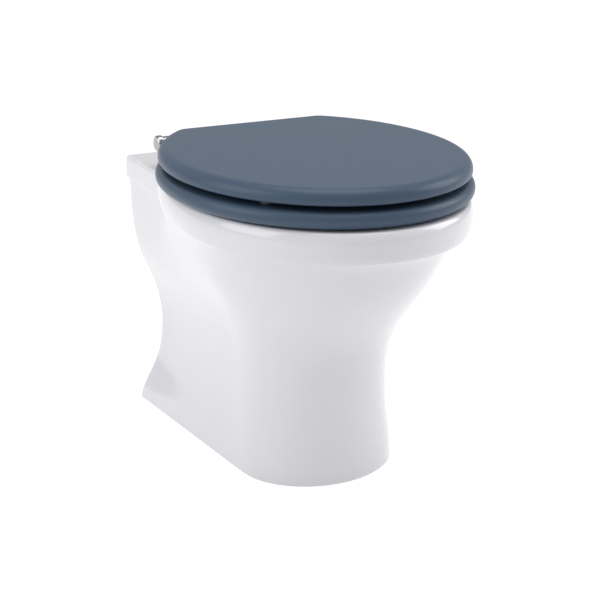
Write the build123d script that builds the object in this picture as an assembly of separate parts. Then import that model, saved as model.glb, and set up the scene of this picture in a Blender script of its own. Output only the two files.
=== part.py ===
from build123d import *
import math
import os

# A wall hung toilet: a glazed pan with a seat ring and a lid on two chromed barrel hinges.
# X runs across, Y out of the wall with the wall face at Y = 0 and the room on the -Y side, Z up.
# Reaches are distances from the wall face. Heights are worked out from the pan's base, and the
# finished pieces are moved down by stud_height, so that the origin is the middle of the two wall
# fixing holes, on the wall face.

# Clearances
running_clearance = 0.05
fixed_clearance = 0.05
face_gap = 0.4
soft_gap = 0.3

# Pan, outside
pan_height = 361.3
rim_band = 28.0
rim_step = 1.8
rim_roll = 7.5
rim_width = 364.4
rim_reach = 525.5
widest_reach = 310.4
ledge_width = 273.0
ledge_edge_radius = 5.0
rear_corner_radius = 4.0
flare_reach = 130.0
flare_softness = 0.035

# Pan, skirt between the foot, the waist and the crease under the rim
foot_rear_width = 250.8
foot_front_width = 213.0
foot_side_reach = 298.0
foot_reach = 391.5
foot_chamfer = 2.5
waist_height = 112.0
waist_rear_width = 178.8
waist_front_width = 196.0
waist_reach = 383.6
# Share of the height from the base to the waist, then the shares left of the foot's extra rear width,
# front width and reach
foot_shares = (
    (0.0, 1.0, 1.0, 1.0),
    (0.11, 0.92, 0.99, 0.95),
    (0.27, 0.69, 0.85, 0.75),
    (0.54, 0.26, 0.4, 0.34),
    (0.8, 0.05, 0.1, 0.05),
)
# Share of the height from the waist to the crease, then the shares gained of the rim's extra rear
# width, front width and reach
swell_shares = (
    (0.0, 0.0, 0.0, 0.0),
    (0.172, 0.075, 0.013, 0.037),
    (0.285, 0.221, 0.061, 0.106),
    (0.398, 0.448, 0.16, 0.221),
    (0.511, 0.667, 0.318, 0.37),
    (0.647, 0.826, 0.531, 0.557),
    (0.805, 0.907, 0.72, 0.74),
    (1.0, 1.0, 1.0, 1.0),
)

# Pan, bowl
bowl_width = 270.0
bowl_front_reach = 474.0
bowl_rear_reach = 177.0
bowl_edge_radius = 8.0
rim_lip = 26.0
flush_groove = 8.0
flush_groove_height = 24.0
bowl_wall = 14.0
# Height, width, front reach and rear reach of the bowl below the flush groove
bowl_sections = (
    (290.0, 258.0, 466.0, 184.0),
    (250.0, 222.0, 440.0, 198.0),
    (210.0, 174.0, 402.0, 212.0),
    (170.0, 130.0, 368.0, 224.0),
    (125.0, 96.0, 346.0, 238.0),
    (80.0, 66.0, 332.0, 256.0),
    (42.0, 34.0, 318.0, 276.0),
)

# Pan, trap and outlet
outlet_height = 170.0
outlet_outside = 102.0
outlet_bore = 88.0
outlet_socket_depth = 45.0
outlet_recess = 118.0
trap_bore = 60.0
trap_wall = 9.0
trap_floor_height = 42.0
trap_crest_height = 186.0
trap_sump_reach = 300.0
trap_turn_reach = 240.0
trap_crest_reach = 150.0
trap_fall_reach = 88.0
trap_bend_radius = 40.0

# Pan, hollow and wall side
skirt_wall = 13.0
back_wall = 14.0
ledge_wall = 16.0
hollow_height = 201.0
hollow_reach = 165.0
stud_height = 270.0
stud_pitch = 180.0
stud_hole = 22.0
stud_boss = 46.0
stud_boss_depth = 30.0
stud_size = 12.0
inlet_height = 305.0
inlet_bore = 55.0
inlet_socket_depth = 45.0
inlet_passage = 40.0
inlet_wall = 9.0
flush_pipe = 45.0

# Seat
seat_widest_reach = 297.6
seat_back_reach = 107.9
seat_corner_radius = 25.0
seat_rear_semi = 228.5
lid_width = 375.6
lid_reach = 514.8
lid_thickness = 19.0
lid_top_radius = 13.5
lid_bottom_radius = 4.0
ring_overhang = 3.6
ring_thickness = 20.0
ring_edge_radius = 9.5
ring_inner_radius = 6.0
ring_opening_width = 226.0
ring_opening_front = 470.0
ring_opening_rear = 192.0
ring_buffer_height = 10.4
lid_buffer_height = 7.2
buffer_diameter = 18.0
buffer_edge = 1.5
buffer_stem = 6.0
buffer_stem_length = 6.0
ring_buffer_front = (134.0, 412.0)
ring_buffer_rear = (122.0, 196.0)
lid_buffer_front = (126.0, 420.0)
lid_buffer_rear = (140.0, 210.0)

# Hinges
hinge_pitch = 155.0
hinge_reach = 91.0
hinge_height = 33.4
barrel_diameter = 18.4
post_knuckle = 24.0
ring_knuckle = 14.0
lid_knuckle = 13.6
cap_length = 9.0
knuckle_groove = 1.2
pin_diameter = 8.0
pin_cover = 2.0
pin_in_cap = 5.0
post_diameter = 15.0
post_flange = 31.0
post_flange_thickness = 5.0
gasket_thickness = 1.2
leaf_thickness = 3.0
leaf_length = 70.0
leaf_screw = 4.0
leaf_screw_head = 7.4
leaf_screw_head_depth = 2.2
leaf_screw_pitch = 22.0
leaf_screw_inset = 9.0
lid_screw_length = 13.0
ring_screw_length = 15.0
cap_screw = 3.0
cap_screw_length = 3.0
cap_screw_angle = 35.0

# Seat fixings
seat_bolt = 8.0
seat_bolt_length = 66.0
seat_bolt_grip = 10.0
seat_hole = 15.0
cone_washer_diameter = 30.0
cone_washer_thickness = 8.0
cone_washer_nose = 4.0
wing_nut_diameter = 17.0
wing_nut_height = 11.0
wing_span = 38.0
wing_thickness = 3.0
wing_rise = 16.0
wing_lead = 2.0

# Wall fixings
sleeve_flange = 34.0
sleeve_flange_thickness = 3.0

# Worked out from the sizes above
crease_height = pan_height - rim_band
ring_bottom = pan_height + ring_buffer_height
ring_top = ring_bottom + ring_thickness
lid_bottom = ring_top + lid_buffer_height
axis_height = pan_height + hinge_height
post_x = hinge_pitch / 2
ring_knuckle_x = post_x + post_knuckle / 2 + face_gap
lid_knuckle_x = ring_knuckle_x + ring_knuckle + face_gap
cap_x = lid_knuckle_x + lid_knuckle + face_gap
barrel_end_x = cap_x + cap_length
pin_start_x = post_x - post_knuckle / 2 + pin_cover
lid_leaf_x = lid_knuckle_x + lid_knuckle / 2
ring_leaf_x = ring_knuckle_x + ring_knuckle / 2
groove_top = pan_height - rim_lip
groove_bottom = groove_top - flush_groove_height


def skirt_side(rear, front, side_reach, flare, blend, y):
    """Half width at the distance y from the wall: straight at first, then out or in to the front width."""
    along = y / side_reach
    start = flare / side_reach * blend

    def ramp(value):
        return (value + math.hypot(value, flare_softness)) / 2

    share = (ramp(along - start) - ramp(-start)) / (ramp(1 - start) - ramp(-start))
    bend = (1 - blend) * share + blend * math.sin(math.pi / 2 * share)
    return rear + (front - rear) * bend


def skirt_face(rear, front, side_reach, reach, blend, height, inset=0.0):
    """Plan of the pan at one height: flat against the wall, sides that flare, and a half ellipse in front."""
    stations = (0.0, 0.16, 0.3, 0.4, 0.47, 0.55, 0.65, 0.78, 0.9)
    corner = rear_corner_radius
    half = []
    for station in stations:
        y = corner + (side_reach - corner) * station
        half.append((skirt_side(rear, front, side_reach, flare_reach, blend, y) - inset, -y))
    for degrees in (0, 18, 36, 54, 72):
        angle = math.radians(degrees)
        x = (front - inset) * math.cos(angle)
        half.append((x, -side_reach - (reach - inset - side_reach) * math.sin(angle)))
    tip = (0.0, -reach + inset)
    left = [(-x, y) for x, y in half]
    side = half[0][0]
    flat = side - corner
    drop = corner * (1 - math.sqrt(0.5))
    edges = [
        Spline(*left, tip, *reversed(half)),
        ThreePointArc((side, -corner), (side - drop, -drop), (flat, 0)),
        Line((flat, 0), (-flat, 0)),
        ThreePointArc((-flat, 0), (-side + drop, -drop), (-side, -corner)),
    ]
    return Pos(0, 0, height) * Face(Wire(edges))


def skirt_sizes():
    """Height, rear half width, front half width, side reach, reach and blend of each skirt section."""
    rows = []
    top_rear = ledge_width / 2 - rim_step
    top_front = rim_width / 2 - rim_roll - rim_step
    top_reach = rim_reach - rim_roll - rim_step
    for share, rear_left, front_left, reach_left in foot_shares:
        height = waist_height * share
        rear = waist_rear_width + (foot_rear_width - waist_rear_width) * rear_left
        front = waist_front_width + (foot_front_width - waist_front_width) * front_left
        reach = waist_reach + (foot_reach - waist_reach) * reach_left
        rows.append((height, rear / 2, front / 2, foot_side_reach, reach, height / crease_height))
    for share, rear_share, front_share, reach_share in swell_shares:
        height = waist_height + (crease_height - waist_height) * share
        rear = waist_rear_width / 2 + (top_rear - waist_rear_width / 2) * rear_share
        front = waist_front_width / 2 + (top_front - waist_front_width / 2) * front_share
        reach = waist_reach + (top_reach - waist_reach) * reach_share
        side_reach = foot_side_reach + (widest_reach - foot_side_reach) * share
        rows.append((height, rear, front, side_reach, reach, height / crease_height))
    return rows


def skirt_body(inset=0.0, high=crease_height):
    """The skirt as a loft, or the space inside it when inset is the wall."""
    faces = []
    for height, rear, front, side_reach, reach, blend in skirt_sizes():
        if height <= high:
            faces.append(skirt_face(rear, front, side_reach, reach, blend, height, inset))
    return loft(faces)


def rim_body():
    """The band and the rolled rim: the ledge's side is upright, the rim's is a half round."""
    faces = []
    for share in (0.0, 0.06, 0.2, 0.5, 0.8, 0.94, 1.0):
        height = crease_height + rim_band * share
        out = 1 - 2 * share
        roll = rim_roll * (1 - math.sqrt(1 - out * out))
        above = max(0.0, height - (pan_height - ledge_edge_radius))
        edge = ledge_edge_radius - math.sqrt(ledge_edge_radius**2 - above**2)
        rear = ledge_width / 2 - edge
        front = rim_width / 2 - roll
        faces.append(skirt_face(rear, front, widest_reach, rim_reach - roll, 1.0, height))
    return loft(faces)


def egg_face(width, front, rear, height, grow=0.0):
    """Plan of the bowl at one height: two half ellipses that meet at the widest line."""
    middle = min(widest_reach, (front * 2 + rear * 3) / 5)
    half = width / 2 + grow
    edges = [
        EllipticalCenterArc((0, -middle), half, front + grow - middle, 180, arc_size=180),
        EllipticalCenterArc((0, -middle), half, middle - rear + grow, 0, arc_size=180),
    ]
    return Pos(0, 0, height) * Face(Wire(edges))


def bowl_body(grow=0.0):
    """The bowl's inside from the flush groove to the sump, or its outside when grow is the wall."""
    faces = [egg_face(bowl_width, bowl_front_reach, bowl_rear_reach, groove_bottom, flush_groove + grow)]
    for height, width, front, rear in bowl_sections:
        faces.append(egg_face(width, front, rear, height - grow, grow))
    return loft(faces)


def bowl_ring(grow, low, high):
    """An upright egg shaped block round the bowl's opening."""
    return extrude(egg_face(bowl_width, bowl_front_reach, bowl_rear_reach, low, grow), high - low)


def trap_tube(diameter):
    """A tube of one diameter along the trap, from the sump over the crest to the wall."""
    low = trap_floor_height + trap_bore / 2
    points = [
        (0, -trap_sump_reach, low),
        (0, -trap_turn_reach, low),
        (0, -trap_crest_reach, trap_crest_height),
        (0, -trap_fall_reach, outlet_height),
        (0, -outlet_socket_depth, outlet_height),
    ]
    path = FilletPolyline(*points, radius=[trap_bend_radius] * (len(points) - 2))
    start = Plane(origin=path @ 0, z_dir=path % 0)
    return sweep(start * Circle(diameter / 2), path=path)


def along_y(diameter, near, far, x=0.0, height=0.0):
    """A round bar along Y from the reach near to the reach far."""
    return Pos(x, -(near + far) / 2, height) * Rot(90, 0, 0) * Cylinder(diameter / 2, far - near)


def along_x(diameter, low, high):
    """A round bar on the hinge axis between two X values."""
    return Pos((low + high) / 2, -hinge_reach, axis_height) * Rot(0, 90, 0) * Cylinder(diameter / 2, high - low)


def upright(diameter, low, high, x=0.0, reach=0.0):
    """An upright round bar between two heights."""
    return Pos(x, -reach, (low + high) / 2) * Cylinder(diameter / 2, high - low)


def block(x_low, x_high, near, far, low, high):
    """A box between two X values, two reaches and two heights."""
    size = Box(x_high - x_low, far - near, high - low)
    return Pos((x_low + x_high) / 2, -(near + far) / 2, (low + high) / 2) * size


def both_sides(piece):
    """A piece with its mirror image on the other side of the middle."""
    return [piece, mirror(piece, Plane.YZ)]


def join(pieces):
    """One shape of several pieces that touch or overlap."""
    total = pieces[0]
    for piece in pieces[1:]:
        total = total + piece
    return total


def outside_body():
    """The pan as one full block: the chamfered foot, the skirt and the rolled rim."""
    skirt = skirt_body()
    sole = skirt.faces().sort_by(Axis.Z)[0]
    return chamfer(sole.edges(), foot_chamfer) + rim_body()


def hollow_body():
    """The open space under the bowl and behind it, clear of the bowl, the trap and the wall side's bosses."""
    low = skirt_body(skirt_wall, hollow_height)
    depth = hollow_reach - back_wall
    rear_faces = []
    for height, rear, _, _, _, _ in skirt_sizes():
        if height >= waist_height:
            plan = Rectangle((rear - skirt_wall) * 2, depth)
            rear_faces.append(Pos(0, -back_wall - depth / 2, height) * plan)
    under_ledge = block(
        -rear + skirt_wall, rear - skirt_wall, back_wall, hollow_reach, crease_height, pan_height - ledge_wall
    )
    space = low + loft(rear_faces) + under_ledge
    space -= block(-rim_width, rim_width, -back_wall, back_wall, -pan_height, pan_height)
    space += along_y(outlet_recess, -back_wall, outlet_socket_depth, 0, outlet_height)
    kept = [
        bowl_body(bowl_wall),
        bowl_ring(flush_groove + bowl_wall, groove_bottom - bowl_wall, pan_height),
        trap_tube(trap_bore + trap_wall * 2),
        along_y(outlet_outside, 0, outlet_socket_depth + trap_wall, 0, outlet_height),
        along_y(inlet_bore + inlet_wall * 2, 0, hollow_reach + bowl_wall, 0, inlet_height),
    ]
    kept += both_sides(along_y(stud_boss, 0, stud_boss_depth, stud_pitch / 2, stud_height))
    for piece in kept:
        space -= piece
    return space


def make_pan():
    """The glazed pan, with its bowl, flush groove, trap, outlet, inlet and fixing holes."""
    pan = outside_body() - bowl_ring(0.0, groove_bottom, pan_height + bowl_wall)
    mouth = pan.faces().sort_by(Axis.Z)[-1].inner_wires()[0]
    pan = fillet(mouth.edges(), bowl_edge_radius)
    pan -= hollow_body()
    cuts = [
        bowl_body(),
        bowl_ring(flush_groove, groove_bottom, groove_top),
        trap_tube(trap_bore),
        along_y(outlet_bore, -back_wall, outlet_socket_depth, 0, outlet_height),
        along_y(inlet_bore, -back_wall, inlet_socket_depth, 0, inlet_height),
        along_y(inlet_passage, 0, bowl_rear_reach + bowl_wall, 0, inlet_height),
    ]
    cuts += both_sides(along_y(stud_hole, -back_wall, hollow_reach, stud_pitch / 2, stud_height))
    cuts += both_sides(upright(seat_hole, pan_height - ledge_wall * 2, pan_height + ledge_wall, post_x, hinge_reach))
    for piece in cuts:
        pan -= piece
    return pan


def seat_plan(grow):
    """Plan of the lid, or of the ring when grow is its overhang: a half ellipse in front and a cut one behind."""
    half = lid_width / 2 + grow
    rear = seat_rear_semi + grow
    back = seat_widest_reach - seat_back_reach
    angle = math.degrees(math.asin(back / rear))
    centre = (0, -seat_widest_reach)
    front = lid_reach + grow - seat_widest_reach
    flat = half * math.sqrt(1 - (back / rear) ** 2)
    edges = [
        EllipticalCenterArc(centre, half, front, 180, arc_size=180),
        EllipticalCenterArc(centre, half, rear, 0, arc_size=angle),
        Line((flat, -seat_back_reach), (-flat, -seat_back_reach)),
        EllipticalCenterArc(centre, half, rear, 180 - angle, arc_size=angle),
    ]
    return Face(Wire(edges))


def seat_slab(grow, low, thickness):
    """A flat slab of the seat's plan with rounded rear corners."""
    slab = extrude(Pos(0, 0, low) * seat_plan(grow), thickness)
    corners = slab.edges().filter_by(Axis.Z).group_by(Axis.Y)[-1]
    return fillet(corners, seat_corner_radius)


def countersunk_screw(length, clearance=0.0):
    """A countersunk screw that points up, with the top of its head on the ground."""
    radius = leaf_screw / 2 + clearance
    head = leaf_screw_head / 2 + clearance
    shank = Pos(0, 0, length / 2) * Cylinder(radius, length)
    cone = Pos(0, 0, leaf_screw_head_depth / 2) * Cone(head, radius, leaf_screw_head_depth)
    return shank + cone


def screw_spots(x):
    """Places of the two screws of a leaf."""
    far = hinge_reach + leaf_length - leaf_screw_inset
    return [(x, -far), (x, -far + leaf_screw_pitch)]


def leaf_screws(x, face, up, length, clearance=0.0):
    """The two screws of one leaf, from the leaf's open face into the seat."""
    turn = Rot(0, 0, 0) if up else Rot(180, 0, 0)
    return [Pos(x_at, y_at, face) * turn * countersunk_screw(length, clearance) for x_at, y_at in screw_spots(x)]


def leaf(start, length, low):
    """A hinge leaf: a knuckle on the axis and a flat strap that lies against the seat."""
    far = hinge_reach + leaf_length
    strap = block(start, start + length, hinge_reach, far, low, low + leaf_thickness)
    tips = strap.edges().filter_by(Axis.Z).group_by(Axis.Y)[0]
    strap = fillet(tips, length / 3)
    knuckle = along_x(barrel_diameter, start, start + length)
    return knuckle + strap - along_x(pin_diameter + running_clearance * 2, start - 1, start + length + 1)


def make_lid_leaf():
    """The lid's hinge leaf, under the lid."""
    piece = leaf(lid_knuckle_x, lid_knuckle, lid_bottom - leaf_thickness)
    for screw in leaf_screws(lid_leaf_x, lid_bottom - leaf_thickness, True, lid_screw_length, fixed_clearance):
        piece -= screw
    return piece


def make_ring_leaf():
    """The ring's hinge leaf, on top of the ring."""
    piece = leaf(ring_knuckle_x, ring_knuckle, ring_top)
    for screw in leaf_screws(ring_leaf_x, ring_top + leaf_thickness, False, ring_screw_length, fixed_clearance):
        piece -= screw
    return piece


def buffer(spot, height, low, up):
    """A round buffer with a stem that plugs into the seat above it, or below it."""
    pad = Cylinder(buffer_diameter / 2, height - soft_gap)
    rim = pad.edges().filter_by(GeomType.CIRCLE).sort_by(Axis.Z)[0]
    pad = fillet(rim, buffer_edge)
    stem_middle = (height - soft_gap + buffer_stem_length) / 2
    whole = pad + Pos(0, 0, stem_middle) * Cylinder(buffer_stem / 2, buffer_stem_length)
    return Pos(spot[0], -spot[1], low + (height + soft_gap) / 2) * whole


def stem_hole(spot, face):
    """The hole that takes a buffer's stem."""
    depth = buffer_stem_length + fixed_clearance
    return upright(buffer_stem + fixed_clearance * 2, face, face + depth, spot[0], spot[1])


def make_lid():
    """The lid: a thick board with a soft shoulder, drilled for its leaves and buffers."""
    lid = seat_slab(0.0, lid_bottom, lid_thickness)
    lid = fillet(lid.faces().sort_by(Axis.Z)[-1].edges(), lid_top_radius)
    lid = fillet(lid.faces().sort_by(Axis.Z)[0].edges(), lid_bottom_radius)
    holes = leaf_screws(lid_leaf_x, lid_bottom - leaf_thickness, True, lid_screw_length + face_gap, fixed_clearance)
    holes += [stem_hole(lid_buffer_front, lid_bottom), stem_hole(lid_buffer_rear, lid_bottom)]
    for hole in holes:
        for piece in both_sides(hole):
            lid -= piece
    return lid


def make_ring():
    """The seat ring: a thick board with a round edge and an egg shaped opening."""
    ring = seat_slab(ring_overhang, ring_bottom, ring_thickness)
    ring = fillet(ring.faces().sort_by(Axis.Z)[-1].edges(), ring_edge_radius)
    ring = fillet(ring.faces().sort_by(Axis.Z)[0].edges(), ring_edge_radius)
    opening = extrude(
        egg_face(ring_opening_width, ring_opening_front, ring_opening_rear, ring_bottom - 1), ring_thickness + 2
    )
    ring -= opening
    for face in (ring.faces().sort_by(Axis.Z)[-1], ring.faces().sort_by(Axis.Z)[0]):
        ring = fillet(face.inner_wires()[0].edges(), ring_inner_radius)
    holes = leaf_screws(ring_leaf_x, ring_top + leaf_thickness, False, ring_screw_length + face_gap, fixed_clearance)
    holes += [stem_hole(ring_buffer_front, ring_bottom), stem_hole(ring_buffer_rear, ring_bottom)]
    for hole in holes:
        for piece in both_sides(hole):
            ring -= piece
    return ring


def make_post():
    """A hinge post: a round foot, a column and the knuckle that holds the pin."""
    base = pan_height + gasket_thickness
    foot = upright(post_flange, base, base + post_flange_thickness, post_x, hinge_reach)
    foot = chamfer(foot.edges().filter_by(GeomType.CIRCLE).sort_by(Axis.Z)[-1], post_flange_thickness / 2)
    column = upright(post_diameter, base, axis_height, post_x, hinge_reach)
    knuckle = along_x(barrel_diameter, post_x - post_knuckle / 2, post_x + post_knuckle / 2)
    post = foot + column + knuckle
    post -= along_x(pin_diameter + fixed_clearance * 2, pin_start_x, post_x + post_knuckle)
    return post - upright(seat_bolt + fixed_clearance * 2, base, base + seat_bolt_grip + face_gap, post_x, hinge_reach)


def cap_screw_bar(diameter, low, high):
    """A round bar across the end cap, towards the front and up, between two distances from the axis."""
    middle = cap_x + cap_length / 2 - cap_screw / 4
    bar = Pos(0, 0, (low + high) / 2) * Cylinder(diameter / 2, high - low)
    return Pos(middle, -hinge_reach, axis_height) * Rot(90 - cap_screw_angle, 0, 0) * bar


def make_cap():
    """The end cap of a barrel, with a groove where it meets the lid's knuckle and a hole for its screw."""
    cap = along_x(barrel_diameter, cap_x, barrel_end_x)
    rings = cap.edges().filter_by(GeomType.CIRCLE).sort_by(Axis.X)
    cap = chamfer(rings[0], knuckle_groove)
    cap = fillet(cap.edges().filter_by(GeomType.CIRCLE).sort_by(Axis.X)[-1], knuckle_groove)
    cap -= along_x(pin_diameter + fixed_clearance * 2, cap_x - 1, cap_x + pin_in_cap + fixed_clearance)
    return cap - cap_screw_bar(cap_screw + fixed_clearance * 2, 0, barrel_diameter)


def make_cone_washer():
    """A rubber washer under the ledge, with a nose that centres the bolt in its hole."""
    face = pan_height - ledge_wall
    disc = Pos(post_x, -hinge_reach, face - cone_washer_thickness / 2) * Cone(
        wing_nut_diameter / 2, cone_washer_diameter / 2, cone_washer_thickness
    )
    nose = Pos(post_x, -hinge_reach, face + cone_washer_nose / 2) * Cone(
        seat_hole / 2 - soft_gap, seat_bolt / 2 + 1, cone_washer_nose
    )
    bore = upright(
        seat_bolt + fixed_clearance * 2, face - cone_washer_thickness, face + cone_washer_nose, post_x, hinge_reach
    )
    return disc + nose - bore


def make_wing_nut():
    """A wing nut that clamps the cone washer against the ledge."""
    top = pan_height - ledge_wall - cone_washer_thickness
    nut = upright(wing_nut_diameter, top - wing_nut_height, top, post_x, hinge_reach)
    wing = block(
        post_x - wing_span / 2,
        post_x + wing_span / 2,
        hinge_reach - wing_thickness / 2,
        hinge_reach + wing_thickness / 2,
        top - wing_rise,
        top - wing_lead,
    )
    wing = fillet(wing.edges().filter_by(Axis.Y).group_by(Axis.Z)[0], wing_thickness)
    wing -= upright(wing_nut_diameter - 1, top - wing_rise, top - wing_nut_height, post_x, hinge_reach)
    bore = upright(seat_bolt + fixed_clearance * 2, top - wing_rise, top, post_x, hinge_reach)
    return nut + wing - bore


def make_sleeve():
    """A plastic sleeve in a wall fixing hole, with its flange on the inner side of the boss."""
    reach = stud_boss_depth + sleeve_flange_thickness
    tube = along_y(stud_hole - fixed_clearance * 2, 0, reach, stud_pitch / 2, stud_height)
    flange = along_y(sleeve_flange, stud_boss_depth, reach, stud_pitch / 2, stud_height)
    return tube + flange - along_y(stud_size + 1, -1, reach + 1, stud_pitch / 2, stud_height)


def write(name, shape):
    """Moves a finished piece into the part's frame and writes its file."""
    solids = [Pos(0, 0, -stud_height) * solid for piece in shape for solid in piece.solids()]
    whole = solids[0] if len(solids) == 1 else Compound(children=solids)
    export_step(whole, os.path.join("parts", name + ".step"))
    box = whole.bounding_box()
    print(name, len(solids), round(whole.volume), [round(v, 1) for v in (*box.min, *box.max)])


os.makedirs("parts", exist_ok=True)
write("pan", [make_pan()])
write("seat_lid", [make_lid()])
write("seat_ring", [make_ring()])
post = make_post()
gasket = upright(post_flange, pan_height, pan_height + gasket_thickness, post_x, hinge_reach)
gasket -= upright(seat_bolt + 1, pan_height, pan_height + gasket_thickness, post_x, hinge_reach)
paired = {
    "hinge_post": post,
    "hinge_gasket": gasket,
    "hinge_pin": along_x(pin_diameter, pin_start_x, cap_x + pin_in_cap),
    "hinge_cap": make_cap(),
    "lid_leaf": make_lid_leaf(),
    "ring_leaf": make_ring_leaf(),
}
for name, piece in paired.items():
    right, left = both_sides(piece)
    write(name + "_right", [right])
    write(name + "_left", [left])
lid_screws = leaf_screws(lid_leaf_x, lid_bottom - leaf_thickness, True, lid_screw_length)
ring_screws = leaf_screws(ring_leaf_x, ring_top + leaf_thickness, False, ring_screw_length)
bolt_top = pan_height + gasket_thickness + seat_bolt_grip
grouped = {
    "lid_leaf_screws": lid_screws,
    "ring_leaf_screws": ring_screws,
    "cap_screws": [cap_screw_bar(cap_screw, barrel_diameter / 2 - cap_screw_length, barrel_diameter / 2)],
    "lid_buffers": [
        buffer(lid_buffer_front, lid_buffer_height, ring_top, True),
        buffer(lid_buffer_rear, lid_buffer_height, ring_top, True),
    ],
    "ring_buffers": [
        buffer(ring_buffer_front, ring_buffer_height, pan_height, True),
        buffer(ring_buffer_rear, ring_buffer_height, pan_height, True),
    ],
    "seat_bolts": [upright(seat_bolt, bolt_top - seat_bolt_length, bolt_top, post_x, hinge_reach)],
    "cone_washers": [make_cone_washer()],
    "wing_nuts": [make_wing_nut()],
    "fixing_sleeves": [make_sleeve()],
}
for name, pieces in grouped.items():
    write(name, [side for piece in pieces for side in both_sides(piece)])
seal = along_y(inlet_bore - fixed_clearance * 2, 0, inlet_socket_depth - face_gap, 0, inlet_height)
write("inlet_seal", [seal - along_y(flush_pipe, -1, inlet_socket_depth, 0, inlet_height)])
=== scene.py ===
"""Looks of a wall hung toilet: glazed china pan, matt painted seat and lid, chromed barrel hinges.

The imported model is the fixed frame. The classes below dress its pieces, make the rolled rim, the ring's
pads and the hinges' end caps as new meshes, and set up the studio. Lengths are metres, in the frame of
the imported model.
"""

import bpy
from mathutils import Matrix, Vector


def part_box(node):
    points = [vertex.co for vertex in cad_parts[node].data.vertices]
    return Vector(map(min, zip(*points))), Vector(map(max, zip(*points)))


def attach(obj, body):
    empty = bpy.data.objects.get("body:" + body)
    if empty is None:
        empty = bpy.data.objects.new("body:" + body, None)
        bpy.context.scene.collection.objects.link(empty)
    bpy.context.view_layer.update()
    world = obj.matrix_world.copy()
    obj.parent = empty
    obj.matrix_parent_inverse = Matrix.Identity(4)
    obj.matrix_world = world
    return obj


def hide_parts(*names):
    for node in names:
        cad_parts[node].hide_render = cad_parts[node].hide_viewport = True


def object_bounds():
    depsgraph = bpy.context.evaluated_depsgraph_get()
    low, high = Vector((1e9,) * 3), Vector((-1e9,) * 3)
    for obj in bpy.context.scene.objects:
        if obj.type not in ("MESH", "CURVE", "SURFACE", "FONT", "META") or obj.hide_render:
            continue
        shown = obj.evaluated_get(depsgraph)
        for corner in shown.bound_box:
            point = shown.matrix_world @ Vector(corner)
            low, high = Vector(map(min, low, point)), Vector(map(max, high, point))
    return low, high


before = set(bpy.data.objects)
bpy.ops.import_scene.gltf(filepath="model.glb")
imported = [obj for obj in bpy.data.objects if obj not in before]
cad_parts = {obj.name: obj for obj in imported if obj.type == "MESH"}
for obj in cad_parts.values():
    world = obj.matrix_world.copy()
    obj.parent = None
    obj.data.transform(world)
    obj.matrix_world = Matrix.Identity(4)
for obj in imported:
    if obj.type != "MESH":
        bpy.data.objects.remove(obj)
CAD_BOX = [list(corner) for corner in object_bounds()]

import logging
import math
from dataclasses import dataclass, field
from enum import Enum

import bmesh
import bpy
import numpy as np
from mathutils import Matrix, Vector

LOG = logging.getLogger("toilet")
TURNED_SEGMENTS = 96
SHEEN_PER_DRIFT = 7.0
Colour = tuple[float, float, float]


class Side(Enum):
    """The side of the toilet that a paired piece belongs to."""

    LEFT = -1
    RIGHT = 1

    @property
    def word(self) -> str:
        """The word that ends the node's name."""
        return self.name.lower()


def rgba(colour: Colour) -> tuple[float, float, float, float]:
    """A colour with full opacity."""
    return (*colour, 1.0)


def direction(azimuth: float, elevation: float) -> Vector:
    """The direction from the toilet to a lamp or the camera.

    Args:
        azimuth: Degrees about the upright axis. 0 is straight in front of the toilet, 90 on its right.
        elevation: Degrees above level.

    Returns:
        The direction, of length one.
    """
    turn, rise = math.radians(azimuth), math.radians(elevation)
    return Vector((math.sin(turn) * math.cos(rise), -math.cos(turn) * math.cos(rise), math.sin(rise)))


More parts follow.
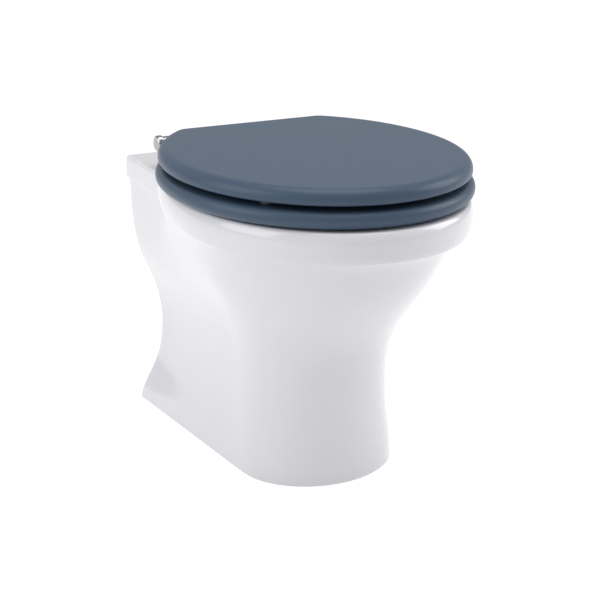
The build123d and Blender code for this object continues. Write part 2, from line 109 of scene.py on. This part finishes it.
class EffectGroups:
    """Shader node groups that several finishes share. Each is built once and gives values or a height."""

    def __init__(self) -> None:
        """Builds nothing until a group is asked for."""
        self._made: dict[str, bpy.types.NodeTree] = {}

    def waves(self) -> bpy.types.NodeTree:
        """Long soft waves with a fine skin on top, as in a poured glaze or a sprayed paint.

        Returns:
            A group with Vector, Long, Fine and Share inputs and a Height output.
        """
        if "waves" in self._made:
            return self._made["waves"]
        tree = bpy.data.node_groups.new("surface_waves", "ShaderNodeTree")
        face = tree.interface
        face.new_socket("Vector", in_out="INPUT", socket_type="NodeSocketVector")
        for name, value in (("Long", 9.0), ("Fine", 260.0), ("Share", 0.2)):
            socket = face.new_socket(name, in_out="INPUT", socket_type="NodeSocketFloat")
            socket.default_value = value
        face.new_socket("Height", in_out="OUTPUT", socket_type="NodeSocketFloat")
        start = tree.nodes.new("NodeGroupInput")
        end = tree.nodes.new("NodeGroupOutput")
        long = tree.nodes.new("ShaderNodeTexNoise")
        long.inputs["Detail"].default_value = 1.0
        fine = tree.nodes.new("ShaderNodeTexNoise")
        fine.inputs["Detail"].default_value = 2.0
        mix = tree.nodes.new("ShaderNodeMix")
        for noise, scale in ((long, "Long"), (fine, "Fine")):
            tree.links.new(start.outputs["Vector"], noise.inputs["Vector"])
            tree.links.new(start.outputs[scale], noise.inputs["Scale"])
        tree.links.new(start.outputs["Share"], mix.inputs["Factor"])
        tree.links.new(long.outputs["Fac"], mix.inputs["A"])
        tree.links.new(fine.outputs["Fac"], mix.inputs["B"])
        tree.links.new(mix.outputs["Result"], end.inputs["Height"])
        self._made["waves"] = tree
        return tree

    def mottle(self) -> bpy.types.NodeTree:
        """Soft patches between two values, such as a faint drift of colour or of roughness.

        Returns:
            A group with Vector, Scale, Low and High inputs and a Value output.
        """
        if "mottle" in self._made:
            return self._made["mottle"]
        tree = bpy.data.node_groups.new("soft_mottle", "ShaderNodeTree")
        face = tree.interface
        face.new_socket("Vector", in_out="INPUT", socket_type="NodeSocketVector")
        for name, value in (("Scale", 6.0), ("Low", 0.0), ("High", 1.0)):
            socket = face.new_socket(name, in_out="INPUT", socket_type="NodeSocketFloat")
            socket.default_value = value
        face.new_socket("Value", in_out="OUTPUT", socket_type="NodeSocketFloat")
        start = tree.nodes.new("NodeGroupInput")
        end = tree.nodes.new("NodeGroupOutput")
        noise = tree.nodes.new("ShaderNodeTexNoise")
        noise.inputs["Detail"].default_value = 3.0
        spread = tree.nodes.new("ShaderNodeMapRange")
        spread.inputs["From Min"].default_value = 0.3
        spread.inputs["From Max"].default_value = 0.7
        tree.links.new(start.outputs["Vector"], noise.inputs["Vector"])
        tree.links.new(start.outputs["Scale"], noise.inputs["Scale"])
        tree.links.new(noise.outputs["Fac"], spread.inputs["Value"])
        tree.links.new(start.outputs["Low"], spread.inputs["To Min"])
        tree.links.new(start.outputs["High"], spread.inputs["To Max"])
        tree.links.new(spread.outputs["Result"], end.inputs["Value"])
        self._made["mottle"] = tree
        return tree


GROUPS = EffectGroups()


@dataclass(frozen=True)
class Finish:
    """A surface finish: two near colours that drift into each other, a roughness range and a skin."""

    name: str
    light: Colour
    dark: Colour
    roughness: tuple[float, float]
    drift_scale: float = 5.0
    metallic: float = 0.0
    coat: float = 0.0
    coat_roughness: float = 0.03
    ior: float = 1.5
    specular: float = 0.5
    transmission: float = 0.0
    subsurface: float = 0.0
    long_scale: float = 9.0
    fine_scale: float = 260.0
    fine_share: float = 0.2
    bump: float = 0.1
    bump_depth: float = 0.0004

    def build(self) -> bpy.types.Material:
        """Makes the node based material.

        Returns:
            The material, ready to be put into a piece's slots.
        """
        material = bpy.data.materials.new(self.name)
        material.use_nodes = True
        tree = material.node_tree
        shader = tree.nodes["Principled BSDF"]
        shader.inputs["Metallic"].default_value = self.metallic
        shader.inputs["Coat Weight"].default_value = self.coat
        shader.inputs["Coat Roughness"].default_value = self.coat_roughness
        shader.inputs["IOR"].default_value = self.ior
        shader.inputs["Specular IOR Level"].default_value = self.specular
        shader.inputs["Transmission Weight"].default_value = self.transmission
        shader.inputs["Subsurface Weight"].default_value = self.subsurface
        place = tree.nodes.new("ShaderNodeTexCoord")
        drift = self._group(tree, GROUPS.mottle(), {"Scale": self.drift_scale, "Low": 0.0, "High": 1.0})
        tone = tree.nodes.new("ShaderNodeMix")
        tone.data_type = "RGBA"
        tone.inputs["A"].default_value = rgba(self.light)
        tone.inputs["B"].default_value = rgba(self.dark)
        low, high = self.roughness
        sheen_scale = self.drift_scale * SHEEN_PER_DRIFT
        sheen = self._group(tree, GROUPS.mottle(), {"Scale": sheen_scale, "Low": low, "High": high})
        skin = self._group(
            tree,
            GROUPS.waves(),
            {"Long": self.long_scale, "Fine": self.fine_scale, "Share": self.fine_share},
        )
        bump = tree.nodes.new("ShaderNodeBump")
        bump.inputs["Strength"].default_value = self.bump
        bump.inputs["Distance"].default_value = self.bump_depth
        for group in (drift, sheen, skin):
            tree.links.new(place.outputs["Object"], group.inputs["Vector"])
        tree.links.new(drift.outputs["Value"], tone.inputs["Factor"])
        tree.links.new(tone.outputs["Result"], shader.inputs["Base Color"])
        tree.links.new(sheen.outputs["Value"], shader.inputs["Roughness"])
        tree.links.new(skin.outputs["Height"], bump.inputs["Height"])
        tree.links.new(bump.outputs["Normal"], shader.inputs["Normal"])
        return material

    @staticmethod
    def _group(
        tree: bpy.types.NodeTree, group: bpy.types.NodeTree, values: dict[str, float]
    ) -> bpy.types.ShaderNodeGroup:
        """Places a group in a material with its own values."""
        node = tree.nodes.new("ShaderNodeGroup")
        node.node_tree = group
        for name, value in values.items():
            node.inputs[name].default_value = value
        return node


CHINA = Finish(
    name="glazed_china",
    light=(0.82, 0.815, 0.86),
    dark=(0.81, 0.805, 0.855),
    roughness=(0.14, 0.2),
    drift_scale=2.2,
    coat=0.7,
    coat_roughness=0.04,
    long_scale=7.0,
    fine_scale=180.0,
    fine_share=0.05,
    bump=0.12,
    bump_depth=0.0008,
)
PAINT = Finish(
    name="seat_paint",
    light=(0.059, 0.098, 0.153),
    dark=(0.057, 0.095, 0.149),
    roughness=(0.36, 0.375),
    specular=0.35,
    drift_scale=4.0,
    long_scale=22.0,
    fine_scale=1500.0,
    fine_share=0.8,
    bump=0.05,
    bump_depth=0.0003,
)
CHROME = Finish(
    name="polished_chrome",
    light=(0.43, 0.425, 0.44),
    dark=(0.4, 0.395, 0.41),
    roughness=(0.05, 0.09),
    metallic=1.0,
    bump=0.04,
    bump_depth=0.0001,
)
STEEL = Finish(
    name="plain_steel",
    light=(0.5, 0.5, 0.51),
    dark=(0.42, 0.42, 0.43),
    roughness=(0.26, 0.38),
    drift_scale=60.0,
    metallic=1.0,
    fine_scale=900.0,
    fine_share=0.7,
    bump=0.2,
    bump_depth=0.0001,
)
DARK_STEEL = Finish(
    name="dark_steel",
    light=(0.09, 0.09, 0.1),
    dark=(0.06, 0.06, 0.07),
    roughness=(0.35, 0.45),
    drift_scale=60.0,
    metallic=1.0,
    bump=0.1,
    bump_depth=0.0001,
)
RUBBER = Finish(
    name="black_rubber",
    light=(0.03, 0.03, 0.031),
    dark=(0.022, 0.022, 0.023),
    roughness=(0.6, 0.75),
    fine_scale=1200.0,
    fine_share=0.8,
    bump=0.3,
    bump_depth=0.0002,
)
CLEAR_PLASTIC = Finish(
    name="milky_plastic",
    light=(0.82, 0.83, 0.85),
    dark=(0.78, 0.79, 0.81),
    roughness=(0.16, 0.22),
    transmission=0.85,
)
WHITE_PLASTIC = Finish(
    name="white_plastic",
    light=(0.8, 0.8, 0.78),
    dark=(0.76, 0.76, 0.74),
    roughness=(0.38, 0.48),
    fine_scale=900.0,
    fine_share=0.6,
    bump=0.15,
    bump_depth=0.0002,
)


def closed_grid(name: str, rows: np.ndarray, sharp_degrees: float = 35.0) -> bpy.types.Mesh:
    """A mesh from rows of points that is closed both ways, like a ring's surface.

    Args:
        name: The mesh's name.
        rows: Points of shape rows by columns by 3. Row and column numbers wrap round.
        sharp_degrees: The angle between faces above which their edge is drawn sharp.

    Returns:
        The mesh, shaded smooth between its sharp edges.
    """
    high, wide, _ = rows.shape
    number = np.arange(high * wide).reshape(high, wide)
    right, above = np.roll(number, -1, axis=1), np.roll(number, -1, axis=0)
    corner = np.roll(above, -1, axis=1)
    faces = np.stack([number, above, corner, right], axis=-1).reshape(-1, 4)
    return smooth_mesh(name, rows.reshape(-1, 3), faces.tolist(), sharp_degrees)


def turned(name: str, profile: np.ndarray, along: int, centre: tuple[float, float, float]) -> bpy.types.Mesh:
    """A mesh that is turned on a lathe: each point of the profile goes round the axis as a ring.

    Args:
        name: The mesh's name.
        profile: Rows of a distance from the axis and a place along it, which rises.
        along: The number of the axis that it is turned about, 0 for X or 2 for Z.
        centre: The point of the axis from which places are counted.

    Returns:
        The mesh, closed by a flat face at each end.
    """
    turn = np.linspace(0.0, math.tau, TURNED_SEGMENTS, endpoint=False)
    radius, place = profile[:, 0, None], profile[:, 1, None]
    rings = np.stack([radius * np.cos(turn), radius * np.sin(turn), place + 0.0 * turn], axis=-1)
    points = np.roll(rings, along + 1, axis=-1) + np.array(centre)
    number = np.arange(profile.shape[0] * TURNED_SEGMENTS).reshape(-1, TURNED_SEGMENTS)
    right = np.roll(number, -1, axis=1)
    sides = np.stack([number[:-1], right[:-1], right[1:], number[1:]], axis=-1).reshape(-1, 4)
    ends = [number[0][::-1].tolist(), number[-1].tolist()]
    return smooth_mesh(name, points.reshape(-1, 3), sides.tolist() + ends)


def smooth_mesh(
    name: str, points: np.ndarray, faces: list[list[int]], sharp_degrees: float = 35.0
) -> bpy.types.Mesh:
    """A mesh from points and faces, shaded smooth between its sharp edges.

    Args:
        name: The mesh's name.
        points: Rows of three coordinates.
        faces: The points' numbers round each face, seen from outside.
        sharp_degrees: The angle between faces above which their edge is drawn sharp.

    Returns:
        The mesh.
    """
    mesh = bpy.data.meshes.new(name)
    mesh.from_pydata(points.tolist(), [], faces)
    mesh.shade_smooth()
    mesh.set_sharp_from_angle(angle=math.radians(sharp_degrees))
    return mesh


def joined(name: str, meshes: list[bpy.types.Mesh]) -> bpy.types.Object:
    """One object in the scene from several meshes.

    Args:
        name: The object's name.
        meshes: The meshes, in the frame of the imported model.

    Returns:
        The object, at the origin.
    """
    whole = bmesh.new()
    for mesh in meshes:
        whole.from_mesh(mesh)
    data = bpy.data.meshes.new(name)
    whole.to_mesh(data)
    whole.free()
    piece = bpy.data.objects.new(name, data)
    bpy.context.scene.collection.objects.link(piece)
    return piece


class Wardrobe:
    """Keeps each finish's material and puts it on pieces."""

    def __init__(self) -> None:
        """Starts with no material made."""
        self._made: dict[str, bpy.types.Material] = {}

    def wear(self, piece: bpy.types.Object, finish: Finish) -> None:
        """Puts a finish into every material slot of a piece.

        Args:
            piece: A CAD node's object or a new piece.
            finish: The finish that it gets.
        """
        if finish.name not in self._made:
            self._made[finish.name] = finish.build()
        material = self._made[finish.name]
        if not piece.material_slots:
            piece.data.materials.append(material)
        for slot in piece.material_slots:
            slot.material = material
        LOG.info("%s wears %s", piece.name, finish.name)


@dataclass
class Pan:
    """The china pan with the parts that stay on it."""

    wardrobe: Wardrobe

    def dress(self) -> None:
        """Gives the pan its glaze and the wall side's parts their finishes."""
        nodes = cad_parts
        self.wardrobe.wear(nodes["pan"], CHINA)
        self.wardrobe.wear(nodes["inlet_seal"], RUBBER)
        self.wardrobe.wear(nodes["fixing_sleeves"], WHITE_PLASTIC)


@dataclass
class RolledRim:
    """The rolled rim, an egg shaped roll that rises from the ledge's top to just under the ring.

    It stands on the pan's own rim and covers it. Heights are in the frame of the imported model, and
    reaches are distances from the wall.
    """

    wardrobe: Wardrobe
    half_width: float = 0.1826
    front_reach: float = 0.5259
    widest_reach: float = 0.3104
    rear_semi: float = 0.286
    low: float = 0.0602
    high: float = 0.0995
    roll: float = 0.0075
    mouth_half_width: float = 0.1347
    mouth_front_reach: float = 0.4737
    mouth_rear_reach: float = 0.1773
    mouth_widest_reach: float = 0.2958
    mouth_radius: float = 0.008
    slope_start: float = 0.113
    slope_end: float = 0.127
    ledge_top: float = 0.0913
    plate_low: float = 0.077
    inner_height: float = 0.078
    hidden_depth: float = 0.002
    cover: float = 0.0003
    round_steps: int = 18
    top_steps: int = 10
    segments: int = 288

    def build(self) -> bpy.types.Object:
        """Makes the roll as rows of points from the crease over the top and down into the bowl's mouth.

        Returns:
            The roll, which rides on the pan's body.
        """
        turn = np.linspace(0.0, math.tau, self.segments, endpoint=False)
        inside = self.roll + self.hidden_depth
        bottom = np.array([[inside, self.low]])
        profile = np.vstack([bottom, self._roll_profile()])
        rows = [self._outer(turn, inset, height) for inset, height in profile]
        inner = [self._mouth(turn, grow, height) for grow, height in self._mouth_profile()]
        shares = np.linspace(0.0, 1.0, self.top_steps + 1)[1:-1]
        rows += [rows[-1] * (1 - share) + inner[0] * share for share in shares]
        rows += inner
        rows.append(self._mouth(turn, self.hidden_depth, self.inner_height))
        rows.append(self._outer(turn, inside, self.inner_height))
        return self._finish(np.array(rows))

    def _roll_profile(self) -> np.ndarray:
        """Inset and height along the roll's side: half an ellipse from the crease to the top."""
        angle = np.linspace(0.0, math.pi, self.round_steps)
        inset = self.roll * (1 - np.sin(angle))
        height = self.low + (self.high - self.low) * (1 - np.cos(angle)) / 2
        return np.column_stack([inset, height])

    def _mouth_profile(self) -> np.ndarray:
        """Distance outside the mouth and height: a quarter round, then down into the bowl."""
        angle = np.linspace(0.0, math.pi / 2, self.round_steps // 2)
        grow = self.mouth_radius * (1 - np.sin(angle))
        height = self.high - self.mouth_radius * (1 - np.cos(angle))
        return np.vstack([np.column_stack([grow, height]), [[0.0, self.ledge_top - self.mouth_radius]]])

    def _outer(self, turn: np.ndarray, inset: float, height: float) -> np.ndarray:
        """One row round the egg's outline, drawn in by the inset and cut off straight over the ledge.

        Args:
            turn: Angles round the outline, from the right side to the front.
            inset: How far the row lies inside the widest outline.
            height: The row's height.

        Returns:
            The row's points.
        """
        ahead = self.front_reach - self.widest_reach - inset
        behind = self.rear_semi - inset
        depth = np.where(np.sin(turn) > 0, ahead, behind) * np.sin(turn)
        reach = np.maximum(self.widest_reach + depth, self.slope_start)
        return self._row((self.half_width - inset) * np.cos(turn), reach, height)

    def _mouth(self, turn: np.ndarray, grow: float, height: float) -> np.ndarray:
        """One row round the mouth's outline, grown by a distance.

        Args:
            turn: Angles round the outline, from the right side to the front.
            grow: How far the row lies outside the mouth.
            height: The row's height.

        Returns:
            The row's points.
        """
        ahead = self.mouth_front_reach - self.mouth_widest_reach + grow
        behind = self.mouth_widest_reach - self.mouth_rear_reach + grow
        depth = np.where(np.sin(turn) > 0, ahead, behind) * np.sin(turn)
        across = (self.mouth_half_width + grow) * np.cos(turn)
        return self._row(across, self.mouth_widest_reach + depth, height)

    @staticmethod
    def _row(across: np.ndarray, reach: np.ndarray, height: float) -> np.ndarray:
        """Points at one height from their places across and their reaches."""
        return np.column_stack([across, -reach, np.full(len(across), height)])

    def _finish(self, rows: np.ndarray) -> bpy.types.Object:
        """Fits the heights to the ledge, makes the closed mesh and lets it ride on the pan.

        Args:
            rows: Rows of points, the last of which joins the first.

        Returns:
            The finished piece.
        """
        reach = -rows[:, :, 1]
        rise = np.clip((reach - self.slope_start) / (self.slope_end - self.slope_start), 0.0, 1.0)
        ceiling = self.ledge_top - self.cover + (self.high - self.ledge_top + self.cover) * rise
        inside = np.clip((reach - self.slope_start) / (self.slope_end - self.slope_start) * 2, 0.0, 1.0)
        floor = self.plate_low - (self.plate_low - self.low) * inside
        rows[:, :, 2] = np.clip(rows[:, :, 2], floor, ceiling)
        rim = joined("rolled_rim", [closed_grid("rolled_rim", rows)])
        self.wardrobe.wear(rim, CHINA)
        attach(rim, "pan")
        return rim


@dataclass
class Seat:
    """The lid and the ring with their buffers."""

    wardrobe: Wardrobe
    rim_top: float = 0.0995
    ring_bottom: float = 0.1017
    pad_radius: float = 0.009
    pad_edge: float = 0.0008
    pad_spots: tuple[tuple[float, float], ...] = ((0.134, 0.412), (0.122, 0.196))

    def dress(self) -> None:
        """Gives both boards the paint and the buffers a clear plastic."""
        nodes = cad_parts
        for name in ("seat_lid", "seat_ring"):
            self.wardrobe.wear(nodes[name], PAINT)
        self.wardrobe.wear(nodes["lid_buffers"], CLEAR_PLASTIC)
        self._ring_pads()

    def _ring_pads(self) -> None:
        """Low round pads between the rolled rim and the ring, at the places of the ring's buffers."""
        edge = self.pad_edge
        profile = np.array([
            (self.pad_radius - edge, self.rim_top),
            (self.pad_radius, self.rim_top + edge),
            (self.pad_radius, self.ring_bottom),
        ])
        spots = [(side.value * across, -reach, 0.0) for side in Side for across, reach in self.pad_spots]
        pads = joined("ring_pads", [turned("pad", profile, 2, spot) for spot in spots])
        self.wardrobe.wear(pads, CLEAR_PLASTIC)
        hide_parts("ring_buffers")
        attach(pads, "ring")


@dataclass
class Hinges:
    """Both barrel hinges with their screws and what clamps them to the ledge."""

    wardrobe: Wardrobe
    chromed: tuple[str, ...] = ("hinge_post", "lid_leaf", "ring_leaf")
    cap_radius: float = 0.0108
    cap_bevel: float = 0.0018
    cap_groove: float = 0.0008
    grub_radius: float = 0.0016
    grub_inside: float = 0.0006
    grub_angle: float = 35.0

    def dress(self) -> None:
        """Gives the hinge parts chrome, steel, rubber and plastic."""
        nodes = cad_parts
        for side in Side:
            for name in self.chromed:
                self.wardrobe.wear(nodes[f"{name}_{side.word}"], CHROME)
            self._cap(side)
            self.wardrobe.wear(nodes[f"hinge_pin_{side.word}"], STEEL)
            self.wardrobe.wear(nodes[f"hinge_gasket_{side.word}"], RUBBER)
        for name in ("lid_leaf_screws", "ring_leaf_screws", "cap_screws", "seat_bolts"):
            self.wardrobe.wear(nodes[name], STEEL)
        self.wardrobe.wear(nodes["cone_washers"], RUBBER)
        self.wardrobe.wear(nodes["wing_nuts"], WHITE_PLASTIC)


    def _cap(self, side: Side) -> None:
        """An end cap with a bevelled face and a slim neck towards the lid's knuckle.

        Args:
            side: The side of the toilet that it is on.
        """
        node = f"hinge_cap_{side.word}"
        low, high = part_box(node)
        ends = sorted((abs(low[0]), abs(high[0])))
        length, neck, bevel = ends[1] - ends[0], (high[2] - low[2]) / 2, self.cap_bevel
        profile = np.array([
            (neck, 0.0),
            (neck, self.cap_groove),
            (self.cap_radius - bevel / 3, self.cap_groove),
            (self.cap_radius, self.cap_groove + bevel / 3),
            (self.cap_radius, length - bevel),
            (self.cap_radius - bevel / 4, length - bevel * 0.6),
            (self.cap_radius - bevel, length),
        ])
        if side is Side.LEFT:
            profile = (profile * (1.0, -1.0))[::-1]
        centre = (side.value * ends[0], (low[1] + high[1]) / 2, (low[2] + high[2]) / 2)
        self._grub(side, Vector((side.value * (ends[0] + length / 2), centre[1], centre[2])))
        cap = joined(f"end_{node}", [turned("cap", profile, 0, centre)])
        self.wardrobe.wear(cap, CHROME)
        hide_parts(node)
        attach(cap, "pan")


    def _grub(self, side: Side, centre: Vector) -> None:
        """The end of the grub screw that holds a cap, flush with the cap towards the front and up.

        Args:
            side: The side of the toilet that it is on.
            centre: The middle of the cap on the axis.
        """
        top = self.cap_radius + self.cap_groove / 4
        profile = np.array([
            (self.grub_radius, self.cap_radius - self.grub_inside),
            (self.grub_radius, top),
            (self.grub_radius * 0.6, top),
            (self.grub_radius * 0.5, top - self.grub_inside),
        ])
        mesh = turned("grub", profile, 2, (0.0, 0.0, 0.0))
        tilt = Matrix.Rotation(math.radians(90.0 - self.grub_angle), 4, "X")
        mesh.transform(Matrix.Translation(centre) @ tilt)
        grub = joined(f"grub_screw_{side.word}", [mesh])
        self.wardrobe.wear(grub, DARK_STEEL)
        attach(grub, "pan")


@dataclass(frozen=True)
class Lamp:
    """A square soft box that faces a point of the toilet."""

    name: str
    azimuth: float
    elevation: float
    distance: float
    side: float
    strength: float

    def place(self, aim: Vector) -> bpy.types.Object:
        """Makes the lamp.

        Args:
            aim: The point that it faces.

        Returns:
            The lamp's object.
        """
        data = bpy.data.lights.new(self.name, "AREA")
        data.shape = "RECTANGLE"
        data.size = self.side
        data.size_y = self.side
        data.energy = self.strength * math.pi * self.distance**2
        away = direction(self.azimuth, self.elevation)
        lamp = bpy.data.objects.new(self.name, data)
        lamp.location = aim + away * self.distance
        lamp.rotation_mode = "QUATERNION"
        lamp.rotation_quaternion = (-away).to_track_quat("-Z", "Y")
        bpy.context.scene.collection.objects.link(lamp)
        return lamp


@dataclass
class Studio:
    """Floor, world, lamps and camera."""

    aim: Vector = field(default_factory=lambda: Vector((0.0, -0.26, -0.07)))
    ambient: float = 0.5
    floor_half: float = 14.0
    floor_colour: Colour = (0.9, 0.9, 0.9)
    floor_glow: float = 1.22
    floor_glow_share: float = 0.75
    camera_target: tuple[float, float, float] = (0.02674, -0.25, -0.07852)
    camera_azimuth: float = -28.18
    camera_elevation: float = 18.8
    camera_distance: float = 1.99708
    camera_roll: float = 0.44
    lens: float = 90.375
    shift: tuple[float, float] = (-0.02322, 0.01112)
    lamps: tuple[Lamp, ...] = (
        Lamp("left_box", -95.0, 28.0, 2.4, 1.6, 0.85),
        Lamp("right_box", 75.0, 30.0, 2.4, 1.4, 0.95),
        Lamp("top_box", 0.0, 88.0, 2.2, 1.6, 1.1),
    )

    def set_up(self) -> None:
        """Builds the whole studio."""
        bpy.context.scene.view_settings.view_transform = "Standard"
        self._floor()
        self._world()
        for lamp in self.lamps:
            lamp.place(self.aim)
            LOG.info("lamp %s", lamp.name)
        self._camera()

    def _floor(self) -> None:
        """A wide pale floor under the foot, which keeps the shadow and is white to the camera elsewhere."""
        low = CAD_BOX[0][2]
        mesh = bpy.data.meshes.new("floor")
        grid = np.array([(-1, -1), (1, -1), (1, 1), (-1, 1)], float) * self.floor_half
        corners = np.column_stack([grid, np.full(4, low)])
        mesh.from_pydata(corners.tolist(), [], [(0, 1, 2, 3)])
        floor = bpy.data.objects.new("floor", mesh)
        bpy.context.scene.collection.objects.link(floor)
        material = bpy.data.materials.new("pale_floor")
        material.use_nodes = True
        tree = material.node_tree
        shader = tree.nodes["Principled BSDF"]
        shader.inputs["Base Color"].default_value = rgba(self.floor_colour)
        shader.inputs["Roughness"].default_value = 0.9
        shader.inputs["Specular IOR Level"].default_value = 0.0
        rays = tree.nodes.new("ShaderNodeLightPath")
        seen = tree.nodes.new("ShaderNodeMath")
        seen.operation = "MAXIMUM"
        glow = tree.nodes.new("ShaderNodeEmission")
        glow.inputs["Strength"].default_value = self.floor_glow
        share = tree.nodes.new("ShaderNodeMath")
        share.operation = "MULTIPLY"
        share.inputs[1].default_value = self.floor_glow_share
        both = tree.nodes.new("ShaderNodeMixShader")
        end = tree.nodes["Material Output"]
        tree.links.new(rays.outputs["Is Camera Ray"], seen.inputs[0])
        tree.links.new(rays.outputs["Is Glossy Ray"], seen.inputs[1])
        tree.links.new(seen.outputs["Value"], share.inputs[0])
        tree.links.new(share.outputs["Value"], both.inputs["Fac"])
        tree.links.new(shader.outputs["BSDF"], both.inputs[1])
        tree.links.new(glow.outputs["Emission"], both.inputs[2])
        tree.links.new(both.outputs["Shader"], end.inputs["Surface"])
        mesh.materials.append(material)

    def _world(self) -> None:
        """Even soft light for the object, gloss and glass, and white for the camera."""
        world = bpy.data.worlds.new("studio")
        bpy.context.scene.world = world
        world.use_nodes = True
        tree = world.node_tree
        soft = tree.nodes["Background"]
        soft.inputs["Color"].default_value = (1.0, 1.0, 1.0, 1.0)
        soft.inputs["Strength"].default_value = self.ambient
        white = tree.nodes.new("ShaderNodeBackground")
        white.inputs["Color"].default_value = (1.0, 1.0, 1.0, 1.0)
        white.inputs["Strength"].default_value = 1.0
        rays = tree.nodes.new("ShaderNodeLightPath")
        both = tree.nodes.new("ShaderNodeMixShader")
        tree.links.new(rays.outputs["Is Camera Ray"], both.inputs["Fac"])
        tree.links.new(soft.outputs["Background"], both.inputs[1])
        tree.links.new(white.outputs["Background"], both.inputs[2])
        tree.links.new(both.outputs["Shader"], tree.nodes["World Output"].inputs["Surface"])

    def _camera(self) -> None:
        """The camera at the photograph's place, turned about its own axis by the roll."""
        data = bpy.data.cameras.new("camera")
        data.lens = self.lens
        data.sensor_width = 36.0
        data.shift_x, data.shift_y = self.shift
        data.clip_start = 0.05
        data.clip_end = 100.0
        camera = bpy.data.objects.new("camera", data)
        away = direction(self.camera_azimuth, self.camera_elevation)
        across = Vector((-away.y, away.x, 0.0)).normalized()
        level = Matrix((across, away.cross(across), away)).transposed()
        camera.rotation_mode = "QUATERNION"
        camera.location = Vector(self.camera_target) + away * self.camera_distance
        roll = Matrix.Rotation(math.radians(self.camera_roll), 3, "Z")
        camera.rotation_quaternion = (level @ roll).to_quaternion()
        bpy.context.scene.collection.objects.link(camera)
        bpy.context.scene.camera = camera


def main() -> None:
    """Dresses the sub-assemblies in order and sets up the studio."""
    logging.basicConfig(level=logging.INFO, format="%(name)s: %(message)s")
    wardrobe = Wardrobe()
    for assembly in (Pan(wardrobe), Seat(wardrobe), Hinges(wardrobe)):
        assembly.dress()
        LOG.info("%s done", type(assembly).__name__)
    RolledRim(wardrobe).build()
    Studio().set_up()


if __name__ == "__main__":
    main()
